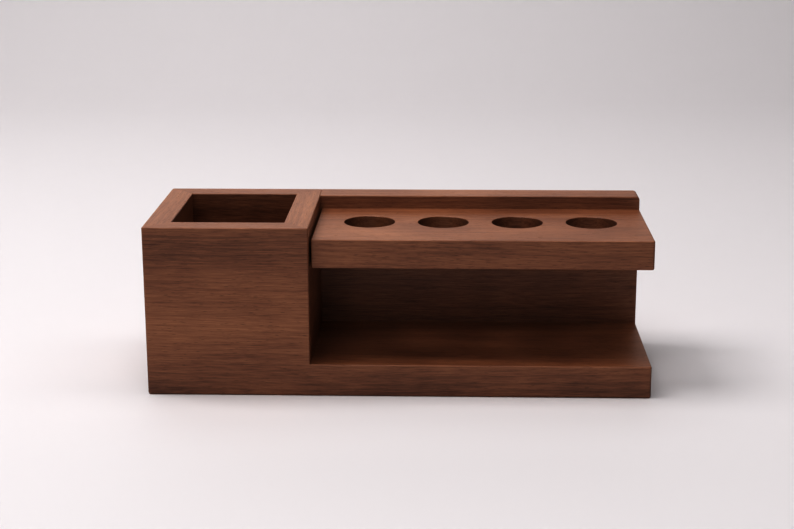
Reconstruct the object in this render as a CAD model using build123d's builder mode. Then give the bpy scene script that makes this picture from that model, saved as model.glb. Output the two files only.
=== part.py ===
from build123d import *
import os

# A razor stand: an open-topped box and, beside it, a shelf with a row of holes over an open bay.
# Frame: the origin is the middle of the footprint, where the stand meets the counter. +X runs along
# the stand with the box at the -X end, +Y points to the back and +Z is up. Millimetres.

# ---- driving sizes ----

# overall
stand_depth = 107.0
stand_height = 100.0
box_width = 95.0

# boards
base_thickness = 19.0
panel_thickness = 19.0
shelf_thickness = 17.0
wall_thickness = 15.0
shelf_drop = 8.0            # from the box's rim down to the shelf's top face
shelf_setback = 6.0         # from the box's front face back to the shelf's
shelf_gap = 1.0             # open joint between the box and the shelf's end

# the row of holes in the shelf
hole_diameter = 30.0
hole_pitch = 44.0
hole_count = 4
hole_end_margin = 32.5      # from each end of the bay to the nearest hole's centre
hole_setback = 46.0         # from the shelf's front face to the holes' centres

# softened edges
arris_radius = 0.8
corner_radius = 1.6         # upright outer corners
foot_radius = 1.2           # edge that meets the counter
panel_corner_radius = 2.4   # the back panel's free top corner
hole_easing = 0.5

# dowels, and the room left for glue beyond each end
board_dowel_diameter = 8.0
wall_dowel_diameter = 6.0
glue_room = 1.0
dowel_chamfer = 0.8
flute_radius = 0.4
flute_count = 10
depth_in_base = 12.0
depth_in_panel = 12.0
reach_up_wall = 18.0
reach_up_panel = 20.0
reach_in_shelf = 22.0
panel_foot_margin = 30.0    # from each end of the back panel to its nearest foot dowel
shelf_dowel_margin = 10.5   # from each end of the shelf to the nearest dowel in its back edge
wall_dowel_margin = 12.5    # from each inner corner of the box to the nearest foot dowel

# splines across the mitres
spline_thickness = 3.0
spline_width = 10.0
spline_stop = 12.0          # how far below the rim the splines end

# ---- places worked out from them ----

bay_length = (hole_count - 1) * hole_pitch + 2 * hole_end_margin
stand_length = box_width + bay_length
left = -stand_length / 2
right = stand_length / 2
front = -stand_depth / 2
back = stand_depth / 2
bay_left = left + box_width
panel_front = back - panel_thickness
shelf_left = bay_left + shelf_gap
shelf_front = front + shelf_setback
wall_height = stand_height - base_thickness
shelf_top = stand_height - shelf_drop
shelf_bottom = shelf_top - shelf_thickness
shelf_middle = (shelf_top + shelf_bottom) / 2
panel_middle = (panel_front + back) / 2
base_top = Plane.XY.offset(base_thickness)

hole_places = [
    (bay_left + hole_end_margin + step * hole_pitch, shelf_front + hole_setback)
    for step in range(hole_count)
]


# ---- helpers ----

def rectangle_between(x_low, y_low, x_high, y_high, mode=Mode.ADD):
    """A rectangle given by two corners, inside the sketch being built."""
    with Locations(((x_low + x_high) / 2, (y_low + y_high) / 2)):
        Rectangle(x_high - x_low, y_high - y_low, mode=mode)


def upright_at(solid, x, y):
    """The upright edge of a solid that stands at x, y."""
    edges = solid.edges().filter_by(Axis.Z)
    return edges.sort_by(lambda edge: (edge.center().X - x) ** 2 + (edge.center().Y - y) ** 2)[0]


def drill(seats, diameter, depth):
    """Blind dowel holes from each seat into the part being built, with room for glue."""
    with Locations(*seats):
        Hole(diameter / 2, depth + glue_room)


def dowel_pin(diameter, below, above):
    """A fluted dowel that reaches below and above its seat, with chamfered ends."""
    with BuildPart() as pin:
        with Locations((0, 0, (above - below) / 2)):
            Cylinder(diameter / 2, above + below)
        chamfer(pin.edges().filter_by(GeomType.CIRCLE), dowel_chamfer)
        with PolarLocations(diameter / 2, flute_count):
            Cylinder(flute_radius, 2 * (above + below), mode=Mode.SUBTRACT)
    return pin.part


# ---- dowel seats: each is the point on the glue face, facing out of the board named first ----

wall_line = {
    "front": front + wall_thickness / 2,
    "back": back - wall_thickness / 2,
    "left": left + wall_thickness / 2,
    "right": bay_left - wall_thickness / 2,
}
across = (left + wall_thickness + wall_dowel_margin, bay_left - wall_thickness - wall_dowel_margin)
along = (front + wall_thickness + wall_dowel_margin, back - wall_thickness - wall_dowel_margin)
wall_foot_places = {
    "front": [(x, wall_line["front"]) for x in across],
    "back": [(x, wall_line["back"]) for x in across],
    "left": [(wall_line["left"], y) for y in along],
    "right": [(wall_line["right"], y) for y in along],
}
panel_foot_places = [
    (bay_left + panel_foot_margin, panel_middle),
    ((bay_left + right) / 2, panel_middle),
    (right - panel_foot_margin, panel_middle),
]
shelf_dowel_x = [
    shelf_left + shelf_dowel_margin,
    *(x + hole_pitch / 2 for x, y in hole_places[:-1]),
    right - shelf_dowel_margin,
]


def seats_up(places):
    return [Plane((x, y, base_thickness), x_dir=(1, 0, 0), z_dir=(0, 0, 1)) for x, y in places]


def seats_down(places):
    return [Plane((x, y, base_thickness), x_dir=(1, 0, 0), z_dir=(0, 0, -1)) for x, y in places]


all_wall_feet = [place for places in wall_foot_places.values() for place in places]
shelf_seats = [
    Plane((x, panel_front, shelf_middle), x_dir=(1, 0, 0), z_dir=(0, 1, 0)) for x in shelf_dowel_x
]
panel_seats = [
    Plane((x, panel_front, shelf_middle), x_dir=(1, 0, 0), z_dir=(0, -1, 0)) for x in shelf_dowel_x
]

# ---- base board: full length, eased where it shows, square where other boards stand on it ----

with BuildPart() as base_board:
    with BuildSketch():
        rectangle_between(bay_left, front, right, panel_front)
    extrude(amount=base_thickness)
    fillet(upright_at(base_board, right, front), corner_radius)
    bay_rim = base_board.faces().sort_by(Axis.Z)[-1].edges()
    bay_rim = bay_rim.filter_by(lambda edge: edge.center().X > bay_left + corner_radius)
    fillet(bay_rim.filter_by(lambda edge: edge.center().Y < panel_front - corner_radius), arris_radius)
    with BuildSketch():
        rectangle_between(left, front, bay_left, back)
        rectangle_between(bay_left, panel_front, right, back)
    extrude(amount=base_thickness)
    for x, y in ((left, front), (left, back), (right, back)):
        fillet(upright_at(base_board, x, y), corner_radius)
    fillet(base_board.faces().sort_by(Axis.Z)[0].edges(), foot_radius)
    drill(seats_up(all_wall_feet), wall_dowel_diameter, depth_in_base)
    drill(seats_up(panel_foot_places), board_dowel_diameter, depth_in_base)

# ---- box: one eased shell, cut along its mitres into four walls ----

inner_left = left + wall_thickness
inner_right = bay_left - wall_thickness
inner_front = front + wall_thickness
inner_back = back - wall_thickness

with BuildPart() as box_shell:
    with BuildSketch(base_top):
        rectangle_between(left, front, bay_left, back)
        rectangle_between(inner_left, inner_front, inner_right, inner_back, mode=Mode.SUBTRACT)
    extrude(amount=wall_height)
    for y in (front, back):
        fillet(upright_at(box_shell, left, y), corner_radius)
        fillet(upright_at(box_shell, bay_left, y), arris_radius)
    fillet(box_shell.faces().sort_by(Axis.Z)[-1].edges(), arris_radius)

outer_corners = {
    "front_left": (left, front),
    "front_right": (bay_left, front),
    "back_right": (bay_left, back),
    "back_left": (left, back),
}
inner_corners = {
    "front_left": (inner_left, inner_front),
    "front_right": (inner_right, inner_front),
    "back_right": (inner_right, inner_back),
    "back_left": (inner_left, inner_back),
}
mitre_ends = {
    "front": ("front_left", "front_right"),
    "right": ("front_right", "back_right"),
    "back": ("back_right", "back_left"),
    "left": ("back_left", "front_left"),
}


def spline_plane(corner):
    """A plane on the base at the middle of a mitre, with its x axis along the mitre."""
    outer = Vector(*outer_corners[corner])
    inner = Vector(*inner_corners[corner])
    middle = (outer + inner) / 2
    return Plane((middle.X, middle.Y, base_thickness), x_dir=outer - inner, z_dir=(0, 0, 1))


def spline_blank(corner, mode=Mode.ADD):
    """The strip that crosses one mitre, from the base up to below the rim."""
    with Locations(spline_plane(corner)):
        Box(
            spline_thickness,
            spline_width,
            wall_height - spline_stop,
            align=(Align.CENTER, Align.CENTER, Align.MIN),
            mode=mode,
        )


box_walls = {}
for side, (start, end) in mitre_ends.items():
    with BuildPart() as wall:
        add(box_shell)
        with BuildSketch(base_top):
            with BuildLine():
                Polyline(
                    outer_corners[start],
                    outer_corners[end],
                    inner_corners[end],
                    inner_corners[start],
                    close=True,
                )
            make_face()
        extrude(amount=wall_height, mode=Mode.INTERSECT)
        for corner in (start, end):
            spline_blank(corner, mode=Mode.SUBTRACT)
        drill(seats_down(wall_foot_places[side]), wall_dowel_diameter, reach_up_wall)
    box_walls[side] = wall

with BuildPart() as mitre_splines:
    for corner in outer_corners:
        spline_blank(corner)

# ---- back panel: stands on the base against the box, flush with the rim and the stand's end ----

with BuildPart() as back_panel:
    with BuildSketch(base_top):
        rectangle_between(bay_left, panel_front, right, back)
    extrude(amount=wall_height)
    top_end = back_panel.edges().filter_by(Axis.Y).sort_by(Axis.Z)[-2:].sort_by(Axis.X)[-1]
    fillet(top_end, panel_corner_radius)
    front_edges = back_panel.faces().sort_by(Axis.Y)[0].edges()
    back_edges = back_panel.faces().sort_by(Axis.Y)[-1].edges()
    open_edges = (front_edges + back_edges).filter_by(
        lambda edge: edge.center().Z > base_thickness + foot_radius
        and edge.center().X > bay_left + foot_radius
    )
    fillet(open_edges, arris_radius)
    drill(seats_down(panel_foot_places), board_dowel_diameter, reach_up_panel)
    drill(panel_seats, board_dowel_diameter, depth_in_panel)

# ---- shelf: carried by the back panel, clear of the box ----

with BuildPart() as razor_shelf:
    with BuildSketch(Plane.XY.offset(shelf_bottom)):
        rectangle_between(shelf_left, shelf_front, right, panel_front)
        with Locations(*hole_places):
            Circle(hole_diameter / 2, mode=Mode.SUBTRACT)
    extrude(amount=shelf_thickness)
    fillet(upright_at(razor_shelf, right, shelf_front), corner_radius)
    fillet(upright_at(razor_shelf, shelf_left, shelf_front), arris_radius)
    hole_rims = razor_shelf.edges().filter_by(GeomType.CIRCLE)
    hole_rims = hole_rims.filter_by(lambda edge: abs(edge.radius - hole_diameter / 2) < 0.01)
    fillet(hole_rims, hole_easing)
    for face in (razor_shelf.faces().sort_by(Axis.Z)[-1], razor_shelf.faces().sort_by(Axis.Z)[0]):
        outline = face.outer_wire().edges()
        fillet(outline.filter_by(lambda edge: edge.center().Y < panel_front - 0.01), arris_radius)
    drill(shelf_seats, board_dowel_diameter, reach_in_shelf)

# ---- dowels: each pin's own +Z points the way its seat faces ----

wall_foot_pin = dowel_pin(wall_dowel_diameter, depth_in_base, reach_up_wall)
panel_foot_pin = dowel_pin(board_dowel_diameter, depth_in_base, reach_up_panel)
shelf_pin = dowel_pin(board_dowel_diameter, reach_in_shelf, depth_in_panel)

with BuildPart() as box_foot_dowels:
    with Locations(*seats_up(all_wall_feet)):
        add(wall_foot_pin)

with BuildPart() as panel_foot_dowels:
    with Locations(*seats_up(panel_foot_places)):
        add(panel_foot_pin)

with BuildPart() as shelf_dowels:
    with Locations(*shelf_seats):
        add(shelf_pin)

# ---- write one STEP file for each piece ----

pieces = {
    "base_board": base_board,
    "box_front_wall": box_walls["front"],
    "box_back_wall": box_walls["back"],
    "box_left_wall": box_walls["left"],
    "box_right_wall": box_walls["right"],
    "mitre_splines": mitre_splines,
    "back_panel": back_panel,
    "razor_shelf": razor_shelf,
    "box_foot_dowels": box_foot_dowels,
    "panel_foot_dowels": panel_foot_dowels,
    "shelf_dowels": shelf_dowels,
}
os.makedirs("parts", exist_ok=True)
for name, piece in pieces.items():
    piece.part.label = name
    export_step(piece.part, f"parts/{name}.step")
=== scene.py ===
import math
import bpy
from mathutils import Matrix

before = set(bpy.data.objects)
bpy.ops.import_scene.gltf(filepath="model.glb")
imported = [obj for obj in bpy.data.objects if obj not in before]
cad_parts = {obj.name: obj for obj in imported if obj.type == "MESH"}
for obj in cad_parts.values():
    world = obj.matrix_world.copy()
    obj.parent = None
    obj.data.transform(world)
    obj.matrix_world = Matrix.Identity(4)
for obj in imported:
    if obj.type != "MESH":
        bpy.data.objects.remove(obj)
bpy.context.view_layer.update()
print("razor stand: frame loaded,", len(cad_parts), "nodes")

toMillimetres = 1000.0    # the frame is in metres, grain is worked out in millimetres


def toLinear(hexColour):
    channels = [int(hexColour[i:i + 2], 16) / 255 for i in (1, 3, 5)]
    return tuple(c / 12.92 if c <= 0.04045 else ((c + 0.055) / 1.055) ** 2.4 for c in channels) + (1.0,)


# one node, with its settings, what goes into its sockets, and its ramp if it has one
def addNode(tree, kind, sockets=None, ramp=None, **settings):
    node = tree.nodes.new(kind)
    for name, value in settings.items():
        setattr(node, name, value)
    for place, value in (sockets or {}).items():
        if isinstance(value, bpy.types.NodeSocket):
            tree.links.new(value, node.inputs[place])
        else:
            node.inputs[place].default_value = value
    if ramp:
        elements = node.color_ramp.elements
        while len(elements) < len(ramp):
            elements.new(0.5)
        for element, (position, hexColour) in zip(elements, ramp):
            element.position = position
            element.color = toLinear(hexColour)
    return node


def newMaterial(name):
    material = bpy.data.materials.new(name)
    material.use_nodes = True
    material.node_tree.nodes.clear()
    return material, material.node_tree


# base plus strength * (value - middle) for each of the swings
def sumOf(tree, base, swings):
    total = base - sum(strength * middle for value, strength, middle in swings)
    for value, strength, middle in swings:
        total = addNode(tree, "ShaderNodeMath", {0: value, 1: strength, 2: total},
                        operation="MULTIPLY_ADD").outputs[0]
    return total


# noise drawn out along the board; sizes are millimetres along, across and through it
def grainNoise(tree, place, sizes, detail, roughness=0.5):
    scaled = addNode(tree, "ShaderNodeVectorMath", {0: place, 1: [1 / s for s in sizes]},
                     operation="MULTIPLY")
    return addNode(tree, "ShaderNodeTexNoise", {
        "Vector": scaled.outputs[0], "Scale": 1.0, "Detail": detail, "Roughness": roughness})


# Board coordinates in millimetres with the grain along the first axis. Solid, so the figure runs
# round every edge and through every hole as it does in sawn wood.
def boardCoordinates(tree, source, cut):
    return addNode(tree, "ShaderNodeMapping", {
        "Vector": source.outputs["Object"],
        "Location": cut["pith"],
        "Rotation": [math.radians(a) for a in cut["turn"]],
        "Scale": (toMillimetres,) * 3,
    }).outputs[0]


# how far a surface faces along the grain, from 0 to 1, when end grain starts to show and when it is full
endGrainSpan = {"starts": 0.4, "full": 0.95}


# how squarely the surface is cut across the grain, from 0 to the given amount
def endGrain(tree, source, cut, amount):
    facing = addNode(tree, "ShaderNodeVectorMath", {0: source.outputs["Normal"], 1: cut["grain"]},
                     operation="DOT_PRODUCT")
    squarely = addNode(tree, "ShaderNodeMath", {0: facing.outputs["Value"]}, operation="ABSOLUTE")
    return addNode(tree, "ShaderNodeMapRange", {
        "Value": squarely.outputs[0], "From Min": endGrainSpan["starts"], "From Max": endGrainSpan["full"],
        "To Max": amount}).outputs[0]


# Oiled American walnut: planed, sanded to 240 and rubbed with hardening oil. It gives the eye a warm
# chocolate brown with streaks along the board, short dark pore lines, faint growth rings and a satin
# sheen, and it goes darker where the board is cut across and the wood drinks more oil.
walnutLook = {
    "darkest": "#371d13",
    "dark": "#613926",
    "middle": "#936347",
    "light": "#b2805e",
    "lightest": "#c99c72",
    "pore": "#23140d",
    "middleTone": 0.52,                   # where an even piece lies between darkest 0 and lightest 1
    "ringWidth": 4.2,                     # mm, a fast grown tree
    "ringUnevenness": 4.0,                # years that the rings wander by
    "growthChange": 19.0,                 # mm from slow growth to fast
    "ringDarkness": 0.07,
    "bandWidth": 46.0,                    # mm, slow swings from paler to darker heartwood
    "bandStrength": 0.25,
    "streakSize": (75.0, 2.2, 2.2),
    "streakStrength": 0.17,
    "cloudSize": (60.0, 26.0, 26.0),
    "cloudStrength": 0.28,
    "fibreSize": (13.0, 0.6, 0.6),        # real fibres are too fine to show, so these are coarser
    "fibreStrength": 0.58,
    "poreSize": (7.0, 0.8, 0.8),          # between pores; drawn 0.4 mm wide to show, real ones are 0.2
    "poreReach": 0.27,                    # a pore's half width, as a share of that
    "latePoreReach": 0.55,                # and what is left of it at the end of a year
    "poreEdge": 9.0,                      # higher is sharper
    "poreStrength": 0.38,
    "wanderSize": (170.0, 80.0, 80.0),    # how slowly the grain strays
    "wander": 8.0,                        # and how far
    "rippleSize": (24.0, 16.0, 16.0),
    "ripple": 0.7,
    "endDarkening": 0.55,
    "roughness": 0.40,
    "fibreRoughness": 0.10,
    "poreRoughness": 0.16,
    "endRoughness": 0.30,
    "ior": 1.56,
    "relief": 0.00006,                    # m, depth of an open pore after oiling
    "fibreRelief": 0.5,                   # height of the fibres, as a share of that
}


# the grain strays slowly and ripples finely, but never along its own length
def strayingGrain(tree, straight):
    look = walnutLook
    place = straight
    for sizes, reach in ((look["wanderSize"], look["wander"]), (look["rippleSize"], look["ripple"])):
        noise = grainNoise(tree, straight, sizes, 1.0)
        stray = addNode(tree, "ShaderNodeVectorMath", {0: noise.outputs["Color"], 1: (0.5,) * 3},
                        operation="SUBTRACT")
        place = addNode(tree, "ShaderNodeVectorMath", {0: stray.outputs[0], 1: (0, reach, reach), 2: place},
                        operation="MULTIPLY_ADD").outputs[0]
    return place


# Gives the slow bands, the time of year and how late that wood is. The distance from the pith is cut
# into years of uneven width, and the wood darkens to each year's end.
def growthRings(tree, place, cut):
    look = walnutLook
    across = addNode(tree, "ShaderNodeVectorMath", {0: place, 1: (0, 1, 1)}, operation="MULTIPLY")
    fromPith = addNode(tree, "ShaderNodeVectorMath", {0: across.outputs[0]},
                       operation="LENGTH").outputs["Value"]
    growth = addNode(tree, "ShaderNodeTexNoise", {
        "W": fromPith, "Scale": 1 / look["growthChange"], "Detail": 1.0}, noise_dimensions="1D")
    outward = addNode(tree, "ShaderNodeMath", {0: fromPith, 1: cut["bandStart"]},
                      operation="ADD").outputs[0]
    bands = addNode(tree, "ShaderNodeTexNoise", {
        "W": outward, "Scale": 1 / look["bandWidth"], "Detail": 0.0}, noise_dimensions="1D").outputs[0]
    years = sumOf(tree, 0, [(fromPith, 1 / look["ringWidth"], 0),
                            (growth.outputs[0], look["ringUnevenness"], 0.5)])
    season = addNode(tree, "ShaderNodeMath", {0: years}, operation="FRACT").outputs[0]
    lateWood = addNode(tree, "ShaderNodeValToRGB", {"Fac": season}, ramp=[
        (0.0, "#9a9a9a"), (0.12, "#000000"), (0.5, "#404040"), (0.9, "#ffffff"),
        (1.0, "#9a9a9a")]).outputs[0]
    return bands, season, lateWood


# long thin cells, widest in each year's early wood
def openPores(tree, place, season):
    look = walnutLook
    grid = addNode(tree, "ShaderNodeVectorMath", {0: place, 1: [1 / s for s in look["poreSize"]]},
                   operation="MULTIPLY")
    cells = addNode(tree, "ShaderNodeTexVoronoi", {"Vector": grid.outputs[0], "Scale": 1.0})
    halfWidth = addNode(tree, "ShaderNodeMapRange", {
        "Value": season, "To Min": look["poreReach"], "To Max": look["poreReach"] * look["latePoreReach"]})
    within = addNode(tree, "ShaderNodeMath", {0: halfWidth.outputs[0], 1: cells.outputs["Distance"]},
                     operation="SUBTRACT")
    return addNode(tree, "ShaderNodeMath", {0: within.outputs[0], 1: look["poreEdge"]},
                   operation="MULTIPLY", use_clamp=True).outputs[0]


def oiledWalnut(name, cut):
    look = walnutLook
    material, tree = newMaterial(name)
    source = addNode(tree, "ShaderNodeTexCoord")
    place = strayingGrain(tree, boardCoordinates(tree, source, cut))
    bands, season, lateWood = growthRings(tree, place, cut)
    streaks = grainNoise(tree, place, look["streakSize"], 3.0, 0.6).outputs[0]
    clouds = grainNoise(tree, place, look["cloudSize"], 1.0).outputs[0]
    fibres = grainNoise(tree, place, look["fibreSize"], 3.0, 0.65).outputs[0]
    pores = openPores(tree, place, season)

    tone = sumOf(tree, look["middleTone"], [
        (bands, look["bandStrength"], 0.5),
        (streaks, look["streakStrength"], 0.5),
        (clouds, look["cloudStrength"], 0.5),
        (fibres, look["fibreStrength"], 0.5),
        (lateWood, -look["ringDarkness"], 0.3),
    ])
    wood = addNode(tree, "ShaderNodeValToRGB", {"Fac": tone}, ramp=[
        (0.0, look["darkest"]), (0.28, look["dark"]), (0.52, look["middle"]),
        (0.76, look["light"]), (1.0, look["lightest"])])
    # sockets 6 and 7 of a Mix node are its two colours, and its output 2 is the mixed colour
    poreShade = addNode(tree, "ShaderNodeMath", {0: pores, 1: look["poreStrength"]}, operation="MULTIPLY")
    pored = addNode(tree, "ShaderNodeMix", {
        0: poreShade.outputs[0], 6: wood.outputs[0], 7: toLinear(look["pore"])}, data_type="RGBA")
    cutAcross = endGrain(tree, source, cut, look["endDarkening"])
    finished = addNode(tree, "ShaderNodeMix", {
        0: cutAcross, 6: pored.outputs[2], 7: toLinear(look["darkest"])}, data_type="RGBA")

    roughness = sumOf(tree, look["roughness"], [
        (fibres, look["fibreRoughness"], 0.5), (pores, look["poreRoughness"], 0),
        (cutAcross, look["endRoughness"], 0)])
    height = sumOf(tree, 0, [(pores, -1.0, 0), (fibres, look["fibreRelief"], 0.5)])
    relief = addNode(tree, "ShaderNodeBump", {
        "Height": height, "Strength": 1.0, "Distance": look["relief"]})
    shader = addNode(tree, "ShaderNodeBsdfPrincipled", {
        "Base Color": finished.outputs[2], "Roughness": roughness, "IOR": look["ior"],
        "Normal": relief.outputs[0]})
    addNode(tree, "ShaderNodeOutputMaterial", {"Surface": shader.outputs[0]})
    return material


# How each board was sawn. Turn brings its grain to the first axis and tilts it a little, as no board
# is sawn dead true; pith says where the middle of the tree lies and bandStart which of the slow bands
# fall on the board, in millimetres. On the back panel and the shelf, pith along the board also lays
# painted shade: a darker cloud on their right ends.
alongX = (1.0, 0.0, 0.0)
alongY = (0.0, 1.0, 0.0)
alongZ = (0.0, 0.0, 1.0)
boards = {
    # the base and the box's front come from one wide board, and the figure runs from one to the other
    # bandStart lays the slow bands so the box's front is darker at its top, paler lower down and a little
    # darker again at its foot
    "base_board": {"grain": alongX, "turn": (0, 0.25, 0.3), "pith": (2135, 20, 160), "bandStart": 508},
    "box_front_wall": {"grain": alongX, "turn": (0, 0.25, 0.3), "pith": (2135, 20, 160), "bandStart": 508},
    "box_back_wall": {"grain": alongX, "turn": (0, -0.8, 0.6), "pith": (2230, -150, 90), "bandStart": 50},
    "box_left_wall": {"grain": alongY, "turn": (0, 0.6, -90.5), "pith": (900, 190, 110), "bandStart": 500},
    "box_right_wall": {"grain": alongY, "turn": (0, -0.7, -89.3), "pith": (1400, 150, 170),
                       "bandStart": 500},
    # the back panel's and the shelf's pith along the board puts a darker cloud on their right ends: painted
    # shade, as the light falls off to the right
    "back_panel": {"grain": alongX, "turn": (0, 0.3, -0.5), "pith": (3320, -210, 120), "bandStart": 25},
    "razor_shelf": {"grain": alongX, "turn": (0, -1.2, 0.9), "pith": (4586, 70, -230), "bandStart": 75},
}


def finishBoards():
    for name, cut in boards.items():
        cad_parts[name].material_slots[0].material = oiledWalnut("oiled_walnut_" + name, cut)
    print("walnut on", len(boards), "boards")


# Hardwood of the hidden joinery, milled and not oiled: steamed beech, pinkish with fine short flecks,
# and hard maple, creamy and almost plain.
joinery = {
    "box_foot_dowels": {"wood": "beech", "grain": alongZ, "turn": (0, 90, 0), "pith": (0, 90, 60)},
    "panel_foot_dowels": {"wood": "beech", "grain": alongZ, "turn": (0, 90, 0), "pith": (300, 90, 60)},
    "shelf_dowels": {"wood": "beech", "grain": alongY, "turn": (0, 0, -90), "pith": (600, 90, 60)},
    "mitre_splines": {"wood": "maple", "grain": alongX, "turn": (0, 0, 0), "pith": (1200, 90, 60)},
}
paleWoods = {
    "beech": {"dark": "#b98d66", "light": "#dcb890", "fleck": "#8d5c3a", "fleckStrength": 0.5,
              "fleckSize": (2.6, 0.6, 0.6), "roughness": 0.62},
    "maple": {"dark": "#d3b58c", "light": "#ecd8b6", "fleck": "#b08a5e", "fleckStrength": 0.25,
              "fleckSize": (5.0, 0.5, 0.5), "roughness": 0.55},
}
paleGrain = {
    "bandSize": (60.0, 2.0, 2.0),
    "bandStrength": 1.4,
    "fibreSize": (9.0, 0.4, 0.4),         # coarser than real fibres, as in the walnut
    "fibreStrength": 0.6,
    "fleckReach": (0.12, 0.3),            # where a fleck starts to fade and where it ends
    "endDarkening": 0.35,
    "fibreRoughness": 0.12,
    "endRoughness": 0.2,
    "ior": 1.5,
    "relief": 0.00005,                    # m
}


def paleHardwood(name, cut):
    look = paleWoods[cut["wood"]]
    grain = paleGrain
    material, tree = newMaterial(name)
    source = addNode(tree, "ShaderNodeTexCoord")
    place = boardCoordinates(tree, source, cut)
    bands = grainNoise(tree, place, grain["bandSize"], 2.0).outputs[0]
    fibres = grainNoise(tree, place, grain["fibreSize"], 2.0).outputs[0]
    tone = sumOf(tree, 0.5, [(bands, grain["bandStrength"], 0.5), (fibres, grain["fibreStrength"], 0.5)])
    wood = addNode(tree, "ShaderNodeValToRGB", {"Fac": tone}, ramp=[
        (0.1, look["dark"]), (0.9, look["light"])])
    grid = addNode(tree, "ShaderNodeVectorMath", {0: place, 1: [1 / s for s in look["fleckSize"]]},
                   operation="MULTIPLY")
    cells = addNode(tree, "ShaderNodeTexVoronoi", {"Vector": grid.outputs[0], "Scale": 1.0})
    fades, ends = grain["fleckReach"]
    flecks = addNode(tree, "ShaderNodeMapRange", {
        "Value": cells.outputs["Distance"], "From Min": fades, "From Max": ends,
        "To Min": look["fleckStrength"], "To Max": 0.0}).outputs[0]
    flecked = addNode(tree, "ShaderNodeMix", {
        0: flecks, 6: wood.outputs[0], 7: toLinear(look["fleck"])}, data_type="RGBA")
    cutAcross = endGrain(tree, source, cut, grain["endDarkening"])
    finished = addNode(tree, "ShaderNodeMix", {
        0: cutAcross, 6: flecked.outputs[2], 7: toLinear(look["dark"])}, data_type="RGBA")
    roughness = sumOf(tree, look["roughness"], [
        (fibres, grain["fibreRoughness"], 0.5), (cutAcross, grain["endRoughness"], 0)])
    relief = addNode(tree, "ShaderNodeBump", {
        "Height": fibres, "Strength": 0.6, "Distance": grain["relief"]})
    shader = addNode(tree, "ShaderNodeBsdfPrincipled", {
        "Base Color": finished.outputs[2], "Roughness": roughness, "IOR": grain["ior"],
        "Normal": relief.outputs[0]})
    addNode(tree, "ShaderNodeOutputMaterial", {"Surface": shader.outputs[0]})
    return material


def finishJoinery():
    for name, cut in joinery.items():
        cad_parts[name].material_slots[0].material = paleHardwood(cut["wood"] + "_" + name, cut)
    print("pale hardwood on", len(joinery), "groups of dowels and splines")


# Floor and backdrop in one sheet of matt painted board, swept up behind the stand.
# Emulsion rolled on dries flat and even, so the eye gets no gloss from it.
sweepLook = {
    "colour": "#dcd8d9",
    "roughness": 0.7,
    "mottle": 0.1,          # how much the roughness varies
    "mottleSize": 1 / 60,   # m, coarser than the real marks of the roller
    "halfWidth": 4.0,       # m
    "front": -3.2,
    "bend": 1.0,            # where the floor starts to rise
    "bendRadius": 0.7,
    "bendSteps": 24,
    "height": 1.5,
}


def paintedBoard():
    look = sweepLook
    material, tree = newMaterial("matt_painted_board")
    source = addNode(tree, "ShaderNodeTexCoord")
    marks = addNode(tree, "ShaderNodeTexNoise", {
        "Vector": source.outputs["Object"], "Scale": 1 / look["mottleSize"], "Detail": 3.0})
    roughness = sumOf(tree, look["roughness"], [(marks.outputs[0], look["mottle"], 0.5)])
    shader = addNode(tree, "ShaderNodeBsdfPrincipled", {
        "Base Color": toLinear(look["colour"]), "Roughness": roughness})
    addNode(tree, "ShaderNodeOutputMaterial", {"Surface": shader.outputs[0]})
    return material


def makeSweep():
    look = sweepLook
    profile = [(look["front"], 0.0)]
    for step in range(look["bendSteps"] + 1):
        angle = math.pi / 2 * step / look["bendSteps"]
        profile.append((look["bend"] + look["bendRadius"] * math.sin(angle),
                        look["bendRadius"] * (1 - math.cos(angle))))
    profile.append((look["bend"] + look["bendRadius"], look["height"]))
    points = [(side * look["halfWidth"], y, z) for y, z in profile for side in (-1, 1)]
    faces = [(2 * i, 2 * i + 1, 2 * i + 3, 2 * i + 2) for i in range(len(profile) - 1)]
    mesh = bpy.data.meshes.new("studio_sweep")
    mesh.from_pydata(points, [], faces)
    mesh.shade_smooth()
    sweep = bpy.data.objects.new("studio_sweep", mesh)
    bpy.context.collection.objects.link(sweep)
    mesh.materials.append(paintedBoard())
    print("sweep laid")


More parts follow.
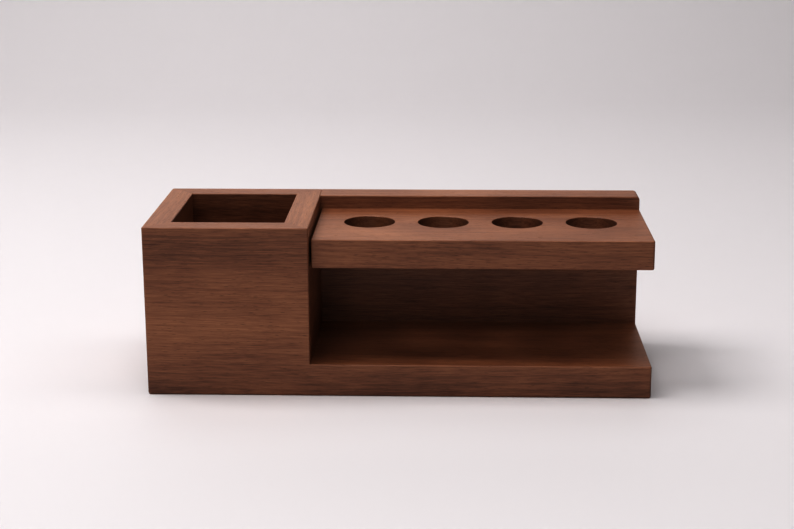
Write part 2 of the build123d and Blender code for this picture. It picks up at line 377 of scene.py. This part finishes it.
# Softboxes: place and size are in metres, power is watts, and each one faces the stand. The key hangs
# to the left, high above the stand, and the others lift the shadows.
softboxes = {
    "key": {"place": (-0.95, -0.05, 1.62), "size": (0.9, 0.9), "power": 23.0},
    "top": {"place": (0.00, 0.00, 2.30), "size": (1.2, 1.2), "power": 13.0},
    "front": {"place": (-0.10, -1.10, 2.00), "size": (1.4, 0.8), "power": 13.0},
    "right": {"place": (1.15, 0.05, 2.00), "size": (0.8, 1.2), "power": 8.5},
    "back": {"place": (-0.30, 1.10, 2.00), "size": (1.4, 0.8), "power": 5.5},
    "behind": {"place": (-0.40, 1.50, 0.80), "size": (2.0, 0.6), "power": 2.2},
    "low": {"place": (-0.30, -2.00, 0.40), "size": (2.0, 0.7), "power": 6.0},
}
room = {
    "colour": "#ffffff",
    "strength": 0.02,
    "contrast": 1.65,      # of the finished picture; 1 is none
}


def makeLights():
    for name, look in softboxes.items():
        softbox = bpy.data.lights.new(name + "_softbox", "AREA")
        softbox.shape = "RECTANGLE"
        softbox.size, softbox.size_y = look["size"]
        softbox.energy = look["power"]
        lamp = bpy.data.objects.new(name + "_softbox", softbox)
        lamp.location = look["place"]
        lamp.rotation_euler = (-lamp.location).to_track_quat("-Z", "Y").to_euler()
        lamp.visible_camera = False
        bpy.context.collection.objects.link(lamp)
    world = bpy.data.worlds.new("dim_room")
    world.use_nodes = True
    background = world.node_tree.nodes["Background"]
    background.inputs["Color"].default_value = toLinear(room["colour"])
    background.inputs["Strength"].default_value = room["strength"]
    scene = bpy.context.scene
    scene.world = world
    scene.view_settings.view_transform = "Standard"
    scene.view_settings.gamma = 1 / room["contrast"]
    print("lights on:", len(softboxes), "softboxes")


# The camera stands in front, a little to the right of the middle, and looks slightly down.
cameraLook = {
    "place": (0.0298, -0.9291, 0.3104),   # m
    "lens": 72.33,                        # mm
    "turn": 1.98,                         # degrees to the left
    "tip": 14.78,                         # degrees down
    "lean": -0.17,
}


def makeCamera():
    look = cameraLook
    camera = bpy.data.objects.new("camera", bpy.data.cameras.new("camera"))
    camera.data.lens = look["lens"]
    turn = Matrix.Rotation(math.radians(look["turn"]), 4, "Z")
    tip = Matrix.Rotation(math.radians(90 - look["tip"]), 4, "X")
    lean = Matrix.Rotation(math.radians(look["lean"]), 4, "Z")
    camera.matrix_world = Matrix.Translation(look["place"]) @ turn @ tip @ lean
    bpy.context.collection.objects.link(camera)
    bpy.context.scene.camera = camera
    print("camera set")


finishBoards()
finishJoinery()
makeSweep()
makeLights()
makeCamera()
